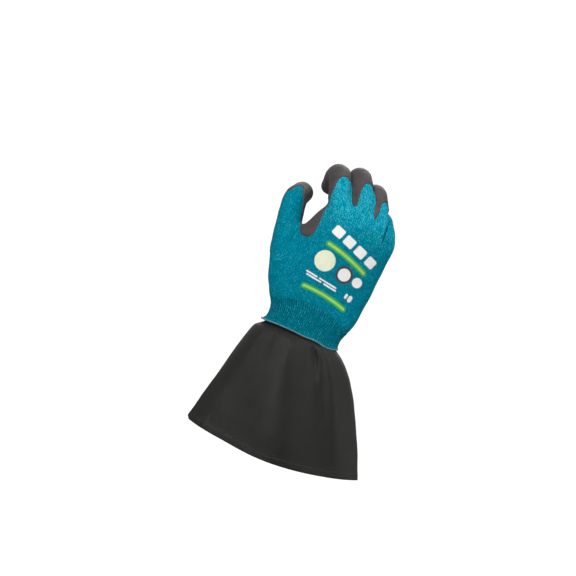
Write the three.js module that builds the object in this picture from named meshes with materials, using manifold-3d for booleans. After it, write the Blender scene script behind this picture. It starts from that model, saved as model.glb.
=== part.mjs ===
// A coated work glove for the right hand, held open as a hand would hold it.
// Millimetres. +Z runs up the forearm to the fingers, -Y is the back of the hand, -X is the thumb's side.
// The origin is the middle of the wrist opening, in the plane of the knitted cuff's lower edge.
import * as THREE from "three";
import { mergeVertices } from "three/addons/utils/BufferGeometryUtils.js";
import Module from "manifold-3d";

const wasm = await Module();
wasm.setup();

// Driving dimensions
const KNIT_WALL = 1.5;
const RIB_WALL = 1.8;
const COATING_GAP = 0.3;
const COATING_WALL = 0.9;
const GAUNTLET_WALL = 1.2;
const PIECE_GAP = 0.35;
const HAND_SIDES = 20;
const FINGER_SIDES = 12;
const GAUNTLET_SIDES = 44;
const FINGER_STEPS = 9;

// Where the plain knit of the hand meets the rib: an arch, high in the middle and low at the sides
const RIB_TOP = { side: 23, rise: 8, centreX: 1.4, halfWidth: 42 };

// The hand's knit without its digits, from the forearm up to the knuckles.
// left and right are the thumb's and the little finger's side, back and palm the two faces,
// cup how far the edges of the section curl towards the palm.
const HAND_ROWS = [
  { z: 0, left: -40.8, right: 39.7, back: -22, palm: 22, cup: 0 },
  { z: 8, left: -37.8, right: 38.5, back: -21.8, palm: 22, cup: 0 },
  { z: 16, left: -38.6, right: 42.2, back: -21.6, palm: 22.5, cup: 0 },
  { z: 24, left: -40.8, right: 45.4, back: -21.4, palm: 23.4, cup: 0 },
  { z: 32, left: -45.4, right: 47.4, back: -21.2, palm: 24.4, cup: 0.5 },
  { z: 48, left: -51.6, right: 49.4, back: -21.4, palm: 24.6, cup: 2 },
  { z: 67, left: -50, right: 51.2, back: -22, palm: 22.4, cup: 4 },
  { z: 87, left: -42, right: 52.8, back: -22.4, palm: 18.6, cup: 7 },
  { z: 106, left: -35, right: 54, back: -22, palm: 14.5, cup: 10 },
  { z: 120, left: -29, right: 52, back: -20.4, palm: 11.5, cup: 12 },
  { z: 129, left: -24, right: 45, back: -16, palm: 10.5, cup: 11 },
  { z: 137, left: -19, right: 38, back: -9, palm: 13, cup: 9 },
  { z: 143, left: -14, right: 29, back: -2.5, palm: 16, cup: 6 },
];

// Each digit's centreline, from its root in the hand to the centre of its round tip, with the knit's radius
const DIGITS = {
  index: [
    { x: -6, y: -4, z: 96, radius: 10.4 },
    { x: -9.6, y: -7, z: 124.5, radius: 10.6 },
    { x: -15.2, y: 4.6, z: 144, radius: 10.8 },
    { x: -22.4, y: 19, z: 163, radius: 10.2 },
    { x: -27, y: 45, z: 162, radius: 9.2 },
    { x: -28, y: 58, z: 153, radius: 8.5 },
  ],
  middle: [
    { x: 10, y: -6, z: 98, radius: 10.4 },
    { x: 13.4, y: -9, z: 127.5, radius: 10.8 },
    { x: 8.2, y: 5, z: 147, radius: 10.8 },
    { x: -2, y: 22, z: 167.6, radius: 10.4 },
    { x: -5.4, y: 51, z: 165, radius: 9.3 },
    { x: -6.4, y: 65, z: 154, radius: 8.6 },
  ],
  ring: [
    { x: 25.6, y: -3, z: 96, radius: 10 },
    { x: 32.6, y: -3.4, z: 123.5, radius: 10.1 },
    { x: 26.8, y: 8.8, z: 142.4, radius: 9.8 },
    { x: 19, y: 23, z: 158.8, radius: 9.5 },
    { x: 15.8, y: 49.5, z: 154.2, radius: 8.7 },
    { x: 15, y: 61.5, z: 143.2, radius: 8.2 },
  ],
  little: [
    { x: 38, y: 3, z: 92, radius: 9 },
    { x: 45, y: 7.4, z: 115, radius: 8.9 },
    { x: 42.2, y: 19.5, z: 126.8, radius: 8.7 },
    { x: 37, y: 32, z: 139.2, radius: 8.4 },
    { x: 32.5, y: 51, z: 133, radius: 7.6 },
    { x: 31, y: 61, z: 124, radius: 7.2 },
  ],
  thumb: [
    { x: -27, y: 3, z: 36, radius: 17 },
    { x: -35.4, y: 6, z: 49, radius: 16.4 },
    { x: -44.2, y: 11, z: 67, radius: 15 },
    { x: -50.2, y: 17, z: 88, radius: 13.4 },
    { x: -54.2, y: 25, z: 106, radius: 12 },
    { x: -56.4, y: 34.5, z: 123.5, radius: 11.5 },
    { x: -52.6, y: 51, z: 135, radius: 10.6 },
  ],
};

// The skin between thumb and forefinger, as flat ovals from one to the other
const WEB_ROWS = [
  { x: -46, y: 14, z: 84, halfDepth: 9, halfHeight: 17 },
  { x: -36, y: 8, z: 87, halfDepth: 8, halfHeight: 16 },
  { x: -25, y: 1, z: 93, halfDepth: 9, halfHeight: 19 },
  { x: -12, y: -4, z: 102, halfDepth: 11, halfHeight: 22 },
];

// The gauntlet's outside, from its top edge, sewn inside the cuff, to its hem.
// share is the part of the way from the cuff's edge down to the hem, and pinch how sharp the sides' edges are.
const GAUNTLET_ROWS = [
  { share: -0.085, left: -34.6, right: 35.6, depth: 18.6, pinch: 1, fold: 0 },
  { share: 0, left: -36.6, right: 36.8, depth: 19.2, pinch: 1, fold: 0 },
  { share: 0.022, left: -37.4, right: 37.6, depth: 19.8, pinch: 1, fold: 0 },
  { share: 0.055, left: -46.4, right: 46.4, depth: 24.4, pinch: 1.05, fold: 0.6 },
  { share: 0.11, left: -49.2, right: 53.4, depth: 26.2, pinch: 1.1, fold: 1 },
  { share: 0.21, left: -52.6, right: 63, depth: 28, pinch: 1.2, fold: 1 },
  { share: 0.38, left: -57.6, right: 75.2, depth: 30, pinch: 1.35, fold: 1 },
  { share: 0.59, left: -63, right: 87.2, depth: 31.6, pinch: 1.45, fold: 0.9 },
  { share: 0.8, left: -69.4, right: 98.6, depth: 32.6, pinch: 1.55, fold: 0.7 },
  { share: 1, left: -74.4, right: 107.4, depth: 33, pinch: 1.6, fold: 0.5 },
];
// The hem's arc: its height in the middle, at the thumb's side and at the little finger's side
const HEM = { middleZ: -127.3, thumbZ: -119.5, littleZ: -113.8 };

// Broad folds that fan out from the cuff: where each crosses the width, -1 to 1, its half width and height
const GAUNTLET_FOLDS = [
  { face: "back", across: -0.88, halfWidth: 0.16, height: 1.6 },
  { face: "back", across: -0.2, halfWidth: 0.3, height: 4.2 },
  { face: "back", across: 0.34, halfWidth: 0.2, height: -3.2 },
  { face: "back", across: 0.64, halfWidth: 0.15, height: 3 },
  { face: "palm", across: -0.45, halfWidth: 0.24, height: 2.6 },
  { face: "palm", across: 0.05, halfWidth: 0.22, height: -2.4 },
  { face: "palm", across: 0.5, halfWidth: 0.24, height: 2.8 },
];

// The sewn seam on the palm's face of the gauntlet, along its thumb's side, one column of its grid wide
const SEAM = { column: 17, thickness: 1, firstRow: 3 };

// The bare knit seen from the back: the outline of what the coating leaves free, as x and z.
const BARE_BACK = [
  { x: -34, z: -20 }, { x: -34, z: 92.3 }, { x: -31, z: 92.6 }, { x: -27, z: 96 },
  { x: -24.8, z: 103.5 }, { x: -24.2, z: 116.5 }, { x: -23.6, z: 130 }, { x: -23.2, z: 148 },
  { x: -22.6, z: 157 }, { x: -20, z: 161.8 }, { x: -16, z: 163 }, { x: -10.4, z: 159.8 },
  { x: -5.6, z: 151 }, { x: -1, z: 141 }, { x: 2.4, z: 138.4 }, { x: 4, z: 144 },
  { x: 3.2, z: 153 }, { x: 3.4, z: 161.5 }, { x: 6.4, z: 165.6 }, { x: 10.8, z: 163.2 },
  { x: 16.6, z: 157.4 }, { x: 20, z: 151.8 }, { x: 22.6, z: 141 }, { x: 25.8, z: 133.6 },
  { x: 27.6, z: 142 }, { x: 26.8, z: 150 }, { x: 28.2, z: 154 }, { x: 30.6, z: 153.6 },
  { x: 34.2, z: 149.4 }, { x: 38.6, z: 144 }, { x: 42, z: 139 }, { x: 42, z: -20 },
];
const BARE_THUMB = [
  { x: -90, z: -20 }, { x: -90, z: 122 }, { x: -70, z: 126 }, { x: -64.4, z: 129 }, { x: -60.6, z: 133.4 },
  { x: -57.4, z: 136.8 }, { x: -54.6, z: 138 }, { x: -52.4, z: 136 }, { x: -49.8, z: 129.6 },
  { x: -47, z: 121.6 }, { x: -47, z: -20 },
];
const BARE_WEB = [
  { x: -47.5, z: -20 }, { x: -47.5, z: 123 }, { x: -46.2, z: 119.4 }, { x: -42.8, z: 109 },
  { x: -40.4, z: 99.4 }, { x: -37.6, z: 94 }, { x: -33.5, z: 92.3 }, { x: -33.5, z: -20 },
];
const BARE_LITTLE = [
  { x: 41.5, z: -20 }, { x: 41.5, z: 126 }, { x: 37, z: 134 }, { x: 37, z: 150 }, { x: 60, z: 150 },
  { x: 90, z: 120 }, { x: 90, z: -20 },
];
// How deep, towards the palm, each of those outlines cuts, by height
const BACK_DEPTH = [
  { z: -20, y: 0 }, { z: 100, y: -1 }, { z: 120, y: 0 }, { z: 132, y: 1.5 }, { z: 142, y: 5 },
  { z: 152, y: 13 }, { z: 160, y: 19 }, { z: 172, y: 25 },
];
const THUMB_DEPTH = [
  { z: -20, y: 6 }, { z: 30, y: 7 }, { z: 49, y: 9 }, { z: 67, y: 13.6 }, { z: 88, y: 20 },
  { z: 106, y: 28 }, { z: 124, y: 37 }, { z: 142, y: 44 },
];
const WEB_DEPTH = [
  { z: -20, y: 6 }, { z: 30, y: 7 }, { z: 60, y: 8 }, { z: 86, y: 10 }, { z: 94, y: 13 },
  { z: 99, y: 16 }, { z: 106, y: 21 }, { z: 124, y: 33 },
];
const LITTLE_DEPTH = [
  { z: -20, y: 8 }, { z: 80, y: 8 }, { z: 100, y: 8.5 }, { z: 112, y: 10.5 }, { z: 120, y: 16.5 },
  { z: 127, y: 23.5 }, { z: 133, y: 30 }, { z: 140, y: 36 }, { z: 151, y: 40 },
];
// The coating's end on the heel of the hand: an arch, low in the middle
const HEEL = { middleZ: 38, halfWidth: 52, sideRise: 16 };

const lerp = THREE.MathUtils.lerp;

// A closed geometry from rings with the same count of points, lowest first, capped flat at both ends
function loft(rings) {
  const count = rings[0].length;
  const points = rings.flat();
  const first = points.length;
  const centre = (ring) => ring.reduce((sum, p) => sum.add(p), new THREE.Vector3()).divideScalar(count);
  points.push(centre(rings[0]), centre(rings.at(-1)));
  const faces = [];
  for (let i = 0; i < count; i++) {
    const next = (i + 1) % count;
    faces.push(first, next, i);
    const top = (rings.length - 1) * count;
    faces.push(first + 1, top + i, top + next);
    for (let r = 0; r + 1 < rings.length; r++) {
      const low = r * count;
      const high = low + count;
      faces.push(low + i, low + next, high + next, low + i, high + next, high + i);
    }
  }
  return closedGeometry(points, faces);
}

// A closed tube-like geometry from an outer and an inner grid of rings, joined at both ends
function shell(outer, inner) {
  const count = outer[0].length;
  const rows = outer.length;
  const points = [...outer.flat(), ...inner.flat()];
  const offset = rows * count;
  const faces = [];
  const quad = (a, b, c, d) => faces.push(a, b, c, a, c, d);
  for (let i = 0; i < count; i++) {
    const next = (i + 1) % count;
    for (let r = 0; r + 1 < rows; r++) {
      const low = r * count;
      const high = low + count;
      quad(low + i, low + next, high + next, high + i);
      quad(offset + low + next, offset + low + i, offset + high + i, offset + high + next);
    }
    const top = (rows - 1) * count;
    quad(offset + i, offset + next, next, i);
    quad(top + i, top + next, offset + top + next, offset + top + i);
  }
  return closedGeometry(points, faces);
}

function closedGeometry(points, faces) {
  const geometry = new THREE.BufferGeometry().setFromPoints(points);
  geometry.setIndex(faces);
  return geometry;
}

// manifold-3d only joins and cuts here
function toSolid(geometry) {
  const bare = geometry.clone();
  bare.deleteAttribute("normal");
  bare.deleteAttribute("uv");
  const merged = mergeVertices(bare, 1e-4);
  return new wasm.Manifold(
    new wasm.Mesh({
      numProp: 3,
      vertProperties: merged.attributes.position.array,
      triVerts: new Uint32Array(merged.index.array),
    }),
  );
}

function toGeometry(solid) {
  const mesh = solid.getMesh();
  const geometry = new THREE.BufferGeometry();
  const places = Float32Array.from(mesh.vertProperties);
  geometry.setAttribute("position", new THREE.BufferAttribute(places, mesh.numProp));
  geometry.setIndex(Array.from(mesh.triVerts));
  return geometry;
}

const union = (solids) => solids.reduce((sum, s) => sum.add(s));
const largest = (solid) => solid.decompose().sort((a, b) => b.volume() - a.volume())[0];

// Straight interpolation of every column of a table at a value of one of them
function rowAt(rows, key, value) {
  const last = rows.length - 1;
  let i = 0;
  while (i < last - 1 && rows[i + 1][key] < value) i++;
  const t = (value - rows[i][key]) / (rows[i + 1][key] - rows[i][key]);
  return Object.fromEntries(Object.keys(rows[i]).map((k) => [k, lerp(rows[i][k], rows[i + 1][k], t)]));
}

// One level section of the hand, grown by grow on all sides, seen from above and running anticlockwise
function handRing(row, grow, sides = HAND_SIDES) {
  const halfWidth = (row.right - row.left) / 2 + grow;
  const halfDepth = (row.palm - row.back) / 2 + grow;
  const centreX = (row.right + row.left) / 2;
  const centreY = (row.palm + row.back) / 2;
  return Array.from({ length: sides }, (_, i) => {
    const angle = (i / sides) * 2 * Math.PI;
    const across = Math.cos(angle);
    const x = centreX + halfWidth * across;
    const y = centreY + halfDepth * Math.sin(angle) + row.cup * (across * across - 0.35);
    return new THREE.Vector3(x, y, row.z);
  });
}

// The hand's block. grow moves every surface outwards, and the flat top upwards.
function handBlock(grow) {
  const lastZ = HAND_ROWS.at(-1).z;
  const topZ = lastZ + grow;
  const rows = [
    { ...HAND_ROWS[0], z: -12 },
    ...HAND_ROWS.filter((row) => row.z < topZ),
    { ...rowAt(HAND_ROWS, "z", Math.min(topZ, lastZ)), z: topZ },
  ];
  return toSolid(loft(rows.map((row) => handRing(row, grow))));
}

// A digit: circles along a smooth curve through its table, closed by a round tip
function digitBlock(rows, grow) {
  const knots = rows.map((row) => new THREE.Vector3(row.x, row.y, row.z));
  const curve = new THREE.CatmullRomCurve3(knots, false, "centripetal");
  const rings = [];
  const side = new THREE.Vector3(1, 0, 0);
  const circle = (centre, along, radius) => {
    const across = side.clone().addScaledVector(along, -side.dot(along)).normalize();
    const over = new THREE.Vector3().crossVectors(along, across);
    return Array.from({ length: FINGER_SIDES }, (_, i) => {
      const angle = (i / FINGER_SIDES) * 2 * Math.PI;
      const sideways = centre.clone().addScaledVector(across, radius * Math.cos(angle));
      return sideways.addScaledVector(over, radius * Math.sin(angle));
    });
  };
  for (let i = 0; i <= FINGER_STEPS; i++) {
    const t = i / FINGER_STEPS;
    const place = t * (rows.length - 1);
    const low = Math.min(Math.floor(place), rows.length - 2);
    const radius = lerp(rows[low].radius, rows[low + 1].radius, place - low) + grow;
    rings.push(circle(curve.getPoint(t), curve.getTangent(t), radius));
  }
  const tip = curve.getPoint(1);
  const along = curve.getTangent(1);
  const tipRadius = rows.at(-1).radius + grow;
  for (const turn of [0.45, 0.85, 1.2]) {
    const centre = tip.clone().addScaledVector(along, tipRadius * Math.sin(turn));
    rings.push(circle(centre, along, tipRadius * Math.cos(turn)));
  }
  return toSolid(loft(rings));
}

function webBlock(grow) {
  const rings = WEB_ROWS.map((row) =>
    Array.from({ length: FINGER_SIDES }, (_, i) => {
      const angle = (i / FINGER_SIDES) * 2 * Math.PI;
      return new THREE.Vector3(
        row.x,
        row.y + (row.halfDepth + grow) * Math.cos(angle),
        row.z + (row.halfHeight + grow) * Math.sin(angle),
      );
    }),
  );
  return toSolid(loft(rings));
}

function wholeHand(grow) {
  const digits = Object.values(DIGITS).map((rows) => digitBlock(rows, grow));
  return union([handBlock(grow), webBlock(grow), ...digits]);
}

// A flat outline in x and z, extruded along Y between two depths
function extrudeAlongY(outline, fromY, toY) {
  const shape = new THREE.Shape(outline.map((p) => new THREE.Vector2(p.x, p.z)));
  const geometry = new THREE.ExtrudeGeometry(shape, { depth: toY - fromY, bevelEnabled: false });
  geometry.rotateX(Math.PI / 2);
  geometry.translate(0, toY, 0);
  return toSolid(geometry);
}

// A flat outline in y and z, extruded along X between two places
function extrudeAlongX(outline, fromX, toX) {
  const shape = new THREE.Shape(outline.map((p) => new THREE.Vector2(p.y, p.z)));
  const geometry = new THREE.ExtrudeGeometry(shape, { depth: toX - fromX, bevelEnabled: false });
  geometry.rotateX(Math.PI / 2);
  geometry.rotateZ(Math.PI / 2);
  geometry.translate(fromX, 0, 0);
  return toSolid(geometry);
}

// The height of the rib's top edge at a place across the hand
function ribTopAt(x) {
  const across = (x - RIB_TOP.centreX) / RIB_TOP.halfWidth;
  return RIB_TOP.side + RIB_TOP.rise * (1 - across * across);
}

// The space above or below an arch across the hand, from far below to far above
function archSpace(middleZ, sideZ, centreX, halfWidth, endZ) {
  const steps = 24;
  const reach = 1.6;
  const arch = Array.from({ length: steps + 1 }, (_, i) => {
    const across = lerp(-reach, reach, i / steps);
    return { x: centreX + halfWidth * across, z: lerp(middleZ, sideZ, across * across) };
  });
  const outline = [...arch, { x: arch.at(-1).x, z: endZ }, { x: arch[0].x, z: endZ }];
  return extrudeAlongY(outline, -60, 90);
}

function bareWindow(outline, depth) {
  const farBack = -60;
  const profile = [{ y: farBack, z: depth[0].z }, ...depth, { y: farBack, z: depth.at(-1).z }];
  return extrudeAlongY(outline, farBack, 60).intersect(extrudeAlongX(profile, -95, 95));
}

// Knitted hand: hollow, open at the rib, with five hollow digits
function knitHand() {
  const middleZ = RIB_TOP.side + RIB_TOP.rise;
  const belowRib = archSpace(middleZ, RIB_TOP.side, RIB_TOP.centreX, RIB_TOP.halfWidth, -60);
  return toGeometry(largest(wholeHand(0).subtract(wholeHand(-KNIT_WALL)).subtract(belowRib)));
}

// Foam coating: a skin over the palm, the digits and their tips, with a scalloped edge on the back
function palmCoating() {
  const inner = COATING_GAP;
  const outer = COATING_GAP + COATING_WALL;
  const skin = wholeHand(outer).subtract(wholeHand(inner));
  const belowHeel = archSpace(HEEL.middleZ, HEEL.middleZ + HEEL.sideRise, 2, HEEL.halfWidth, -60);
  const bare = [
    bareWindow(BARE_BACK, BACK_DEPTH),
    bareWindow(BARE_THUMB, THUMB_DEPTH),
    bareWindow(BARE_WEB, WEB_DEPTH),
    bareWindow(BARE_LITTLE, LITTLE_DEPTH),
  ];
  return toGeometry(largest(bare.reduce((left, cut) => left.subtract(cut), skin.subtract(belowHeel))));
}

// Ribbed wrist cuff: a tube whose top follows the arch
function ribCuff() {
  const shares = [0, 0.3, 0.55, 0.78, 1];
  const grid = (grow) =>
    shares.map((share) => {
      const sides = HAND_SIDES * 2;
      return Array.from({ length: sides }, (_, i) => {
        let height = share * RIB_TOP.side;
        for (let tries = 0; tries < 4; tries++) {
          const { x } = handRing(rowAt(HAND_ROWS, "z", height), grow, sides)[i];
          height = share * (ribTopAt(x) - PIECE_GAP);
        }
        return handRing(rowAt(HAND_ROWS, "z", height), grow, sides)[i];
      });
    });
  return shell(grid(0), grid(-RIB_WALL));
}

// Overlocked edge: a thick thread band under the cuff's lower edge
function overlockEdge() {
  const height = 1.6;
  const low = handRing({ ...HAND_ROWS[0], z: -PIECE_GAP - height }, 0.2, HAND_SIDES * 2);
  const middle = handRing({ ...HAND_ROWS[0], z: -PIECE_GAP - height / 2 }, 0.7, HAND_SIDES * 2);
  const high = handRing({ ...HAND_ROWS[0], z: -PIECE_GAP }, 0.2, HAND_SIDES * 2);
  const outer = [low, middle, high];
  return shell(
    outer,
    outer.map((ring) => handRing({ ...HAND_ROWS[0], z: ring[0].z }, -RIB_WALL, HAND_SIDES * 2)),
  );
}

// How far the folds push one face of the gauntlet out, at a place from -1 to 1 across it
function foldHeight(face, across) {
  return GAUNTLET_FOLDS.filter((fold) => fold.face === face).reduce((sum, fold) => {
    const away = (across - fold.across) / fold.halfWidth;
    return sum + fold.height * Math.exp(-away * away);
  }, 0);
}

function hemAt(across) {
  const sideZ = (HEM.thumbZ + HEM.littleZ) / 2;
  const tilt = (HEM.littleZ - HEM.thumbZ) / 2;
  return lerp(HEM.middleZ, sideZ, across * across) + tilt * across;
}

// A point of the gauntlet's outside: angle 0 is the little finger's side and half a turn the thumb's side
function gauntletPoint(share, angle) {
  const row = rowAt(GAUNTLET_ROWS, "share", share);
  const across = Math.cos(angle);
  const height = Math.sin(angle);
  const hemZ = hemAt(across);
  const face = height < 0 ? "back" : "palm";
  const edgeFade = 1 - Math.pow(Math.abs(across), 6);
  const flat = row.depth * Math.pow(Math.abs(height), row.pinch);
  const depth = flat + row.fold * foldHeight(face, across) * edgeFade;
  const x = (row.left + row.right) / 2 + ((row.right - row.left) / 2) * across;
  const z = share * (share < 0 ? HEM.middleZ : hemZ);
  return new THREE.Vector3(x, Math.sign(height) * depth, z);
}

// The direction straight out of the gauntlet's surface
function gauntletNormal(share, angle) {
  const small = 0.004;
  const along = gauntletPoint(share - small, angle).sub(gauntletPoint(share + small, angle));
  const round = gauntletPoint(share, angle + small).sub(gauntletPoint(share, angle - small));
  return round.cross(along).normalize();
}

const columnAngle = (column) => ((column + 0.5) / GAUNTLET_SIDES) * 2 * Math.PI;

const offsetPoint = (share, angle, distance) =>
  gauntletPoint(share, angle).addScaledVector(gauntletNormal(share, angle), distance);

function gauntlet() {
  const rows = [...GAUNTLET_ROWS].reverse();
  const grid = (distance) =>
    rows.map(({ share }) =>
      Array.from({ length: GAUNTLET_SIDES }, (_, i) => offsetPoint(share, columnAngle(i), distance)),
    );
  return shell(grid(0), grid(-GAUNTLET_WALL));
}

// Sewn seam: a raised strip that lies on the gauntlet, from near the cuff to the hem
function sideSeam() {
  const angles = [columnAngle(SEAM.column), columnAngle(SEAM.column + 1)];
  const rings = GAUNTLET_ROWS.slice(SEAM.firstRow).reverse().map(({ share }) => {
    const low = angles.map((angle) => offsetPoint(share, angle, PIECE_GAP));
    const high = angles.map((angle) => offsetPoint(share, angle, PIECE_GAP + SEAM.thickness));
    return [...low.reverse(), ...high];
  });
  return loft(rings);
}

const fabric = (colour, roughness) =>
  new THREE.MeshStandardMaterial({ color: colour, roughness, metalness: 0, side: THREE.DoubleSide });
const MATERIALS = {
  knit: fabric(0x0c8296, 0.9),
  rib: fabric(0x086b7c, 0.9),
  thread: fabric(0x7fa9b3, 0.85),
  foam: fabric(0x4a4546, 0.7),
  cloth: fabric(0x31322f, 0.75),
};

const glove = new THREE.Group();
function addPiece(name, geometry, material) {
  geometry.computeVertexNormals();
  const mesh = new THREE.Mesh(geometry, material);
  mesh.name = name;
  glove.add(mesh);
}

addPiece("knit_hand", knitHand(), MATERIALS.knit);
addPiece("palm_coating", palmCoating(), MATERIALS.foam);
addPiece("rib_cuff", ribCuff(), MATERIALS.rib);
addPiece("overlock_edge", overlockEdge(), MATERIALS.thread);
addPiece("gauntlet", gauntlet(), MATERIALS.cloth);
addPiece("gauntlet_seam", sideSeam(), MATERIALS.cloth);

export default glove;
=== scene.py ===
import math

import bpy
import numpy as np
from mathutils import Matrix, Vector


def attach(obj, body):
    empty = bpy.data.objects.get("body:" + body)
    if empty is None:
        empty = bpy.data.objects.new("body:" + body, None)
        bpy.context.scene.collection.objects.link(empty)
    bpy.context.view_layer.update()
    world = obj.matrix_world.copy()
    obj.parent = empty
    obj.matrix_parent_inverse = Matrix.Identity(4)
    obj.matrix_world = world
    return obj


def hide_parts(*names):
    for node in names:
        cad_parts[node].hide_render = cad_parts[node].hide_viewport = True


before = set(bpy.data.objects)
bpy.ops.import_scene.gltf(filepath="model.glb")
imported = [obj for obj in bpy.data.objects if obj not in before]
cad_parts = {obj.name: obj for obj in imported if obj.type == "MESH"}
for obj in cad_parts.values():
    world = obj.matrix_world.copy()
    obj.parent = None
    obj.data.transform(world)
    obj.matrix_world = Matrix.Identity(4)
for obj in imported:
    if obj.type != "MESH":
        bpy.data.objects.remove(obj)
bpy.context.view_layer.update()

# A right-hand coated work glove, seen from the back of the hand, open as a hand would hold it.
# The shapes are worked out in millimetres, in the row's frame, and become metres in new_mesh.
# +Z runs up the forearm to the fingers, -Y is the back of the hand and -X the thumb's side.
MM = 0.001

# The camera of the photograph, which leans so that the glove's +Z leans clockwise by ROLL
CAMERA_DISTANCE = 1600.0
FIELD = 576.0
ROLL = math.radians(22)
ORIGIN_RIGHT_OF_MIDDLE = 12.5
ORIGIN_BELOW_MIDDLE = 46.5
PICTURE_RIGHT = np.array([math.cos(ROLL), 0, math.sin(ROLL)])
PICTURE_UP = np.array([-math.sin(ROLL), 0, math.cos(ROLL)])
PICTURE_MIDDLE = ORIGIN_BELOW_MIDDLE * PICTURE_UP - ORIGIN_RIGHT_OF_MIDDLE * PICTURE_RIGHT

# The walls, the arch where the cuff ends and the hand begins, and the coating's edge at the heel.
# The arch follows the photograph more closely than the frame's solid, and the walls are a little thinner.
KNIT_WALL = 1.4
GAUNTLET_WALL = 1.0
RIB_TOP = {"side": 20.7, "rise": 11.6, "centre_x": -3.5, "half_width": 42.0}
HEEL = {"middle_x": 2.0, "middle_z": 38.0, "half_width": 52.0, "side_rise": 16.0}

# The hand's knit without its digits, as in the frame's solid, with one row more below the cuff
HAND_COLUMNS = ("z", "left", "right", "back", "palm", "cup")
HAND_ROWS = [
    (-12, -40.8, 39.7, -22, 22, 0),
    (0, -40.8, 39.7, -22, 22, 0),
    (8, -37.8, 38.5, -21.8, 22, 0),
    (16, -38.6, 42.2, -21.6, 22.5, 0),
    (24, -40.8, 45.4, -21.4, 23.4, 0),
    (32, -45.4, 47.4, -21.2, 24.4, 0.5),
    (48, -51.6, 49.4, -21.4, 24.6, 2),
    (67, -50, 51.2, -22, 22.4, 4),
    (87, -42, 52.8, -22.4, 18.6, 7),
    (106, -35, 54, -22, 14.5, 10),
    (120, -29, 52, -20.4, 11.5, 12),
    (129, -24, 45, -16, 10.5, 11),
    (137, -19, 38, -9, 13, 9),
    (143, -14, 29, -2.5, 16, 6),
]
CUP_MIDDLE = 0.35

# Each digit's centreline and knit radius: x, y, z, radius
DIGITS = {
    "index": [
        (-6, -4, 96, 10.4), (-9.6, -7, 124.5, 10.6), (-15.2, 4.6, 144, 10.8),
        (-22.4, 19, 163, 10.2), (-27, 45, 162, 9.2), (-28, 58, 153, 8.5),
    ],
    "middle": [
        (10, -6, 98, 10.4), (13.4, -9, 127.5, 10.8), (8.2, 5, 147, 10.8),
        (-2, 22, 167.6, 10.4), (-5.4, 51, 165, 9.3), (-6.4, 65, 154, 8.6),
    ],
    "ring": [
        (25.6, -3, 96, 10), (32.6, -3.4, 123.5, 10.1), (26.8, 8.8, 142.4, 9.8),
        (19, 23, 158.8, 9.5), (15.8, 49.5, 154.2, 8.7), (15, 61.5, 143.2, 8.2),
    ],
    "little": [
        (38, 3, 92, 9), (45, 7.4, 115, 8.9), (42.2, 19.5, 126.8, 8.7),
        (36, 32, 138.4, 8.1), (32.5, 51, 133, 7.6), (31, 61, 124, 7.2),
    ],
    "thumb": [
        (-27, 3, 36, 17), (-35.4, 6, 49, 16.4), (-44.2, 11, 67, 15), (-50.2, 17, 88, 13.4),
        (-54.2, 25, 106, 12), (-56.4, 34.5, 123.5, 11.5), (-52.6, 51, 135, 10.6),
    ],
}
# The skin between thumb and forefinger, as ovals: x, y, z, half depth and half height
WEB_ROWS = [(-46, 14, 84, 9, 17), (-36, 8, 87, 8, 16), (-25, 1, 93, 9, 19), (-12, -4, 102, 11, 22)]

# The outlines, on the back, of what the coating leaves bare: x and z as the camera sees them
BARE_BACK = [
    (-34, -60), (-34, 92.3), (-31, 92.6), (-27, 96), (-24.8, 103.5), (-24.2, 116.5), (-23.6, 130),
    (-23.2, 148), (-22.6, 157), (-20, 161.8), (-16, 163), (-10.4, 159.8), (-5.6, 151), (-1, 141),
    (2.4, 138.4), (4, 144), (3.2, 153), (3.4, 161.5), (6.4, 165.6), (10.8, 163.2), (16.6, 157.4),
    (20, 151.8), (22.6, 141), (25.8, 133.6), (27.6, 142), (26.8, 150), (28.2, 154), (30.6, 153.6),
    (34.2, 149.4), (38.6, 144), (42, 139), (42, -60),
]
BARE_THUMB = [
    (-110, -60), (-110, 122), (-70, 126), (-64.4, 129), (-60.6, 133.4), (-57.4, 136.8), (-54.6, 138),
    (-52.4, 136), (-49.8, 129.6), (-47, 121.6), (-47, -60),
]
BARE_WEB = [
    (-48, -60), (-48, 125), (-46.2, 119.4), (-42.8, 109), (-40.4, 99.4), (-37.6, 94), (-33.5, 92.3),
    (-33.5, -60),
]
BARE_LITTLE = [(41.5, -60), (41.5, 126), (37, 134), (37, 150), (60, 150), (90, 120), (90, -60)]
# How deep towards the palm each outline reaches, by height: z and y
BACK_DEPTH = [(-20, 0), (100, -1), (120, 0), (132, 1.5), (142, 5), (152, 13), (160, 19), (172, 25)]
THUMB_DEPTH = [(-20, 6), (30, 7), (49, 9), (67, 13.6), (88, 20), (106, 28), (124, 37), (142, 44)]
WEB_DEPTH = [(-20, 6), (30, 7), (60, 8), (86, 10), (94, 13), (99, 16), (106, 21), (124, 33)]
LITTLE_DEPTH = [
    (-20, 8), (80, 8), (100, 8.5), (112, 10.5), (120, 16.5), (127, 23.5), (133, 30), (140, 36), (151, 40),
]
BARE_WINDOWS = [
    (BARE_BACK, BACK_DEPTH), (BARE_THUMB, THUMB_DEPTH), (BARE_WEB, WEB_DEPTH), (BARE_LITTLE, LITTLE_DEPTH),
]

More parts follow.
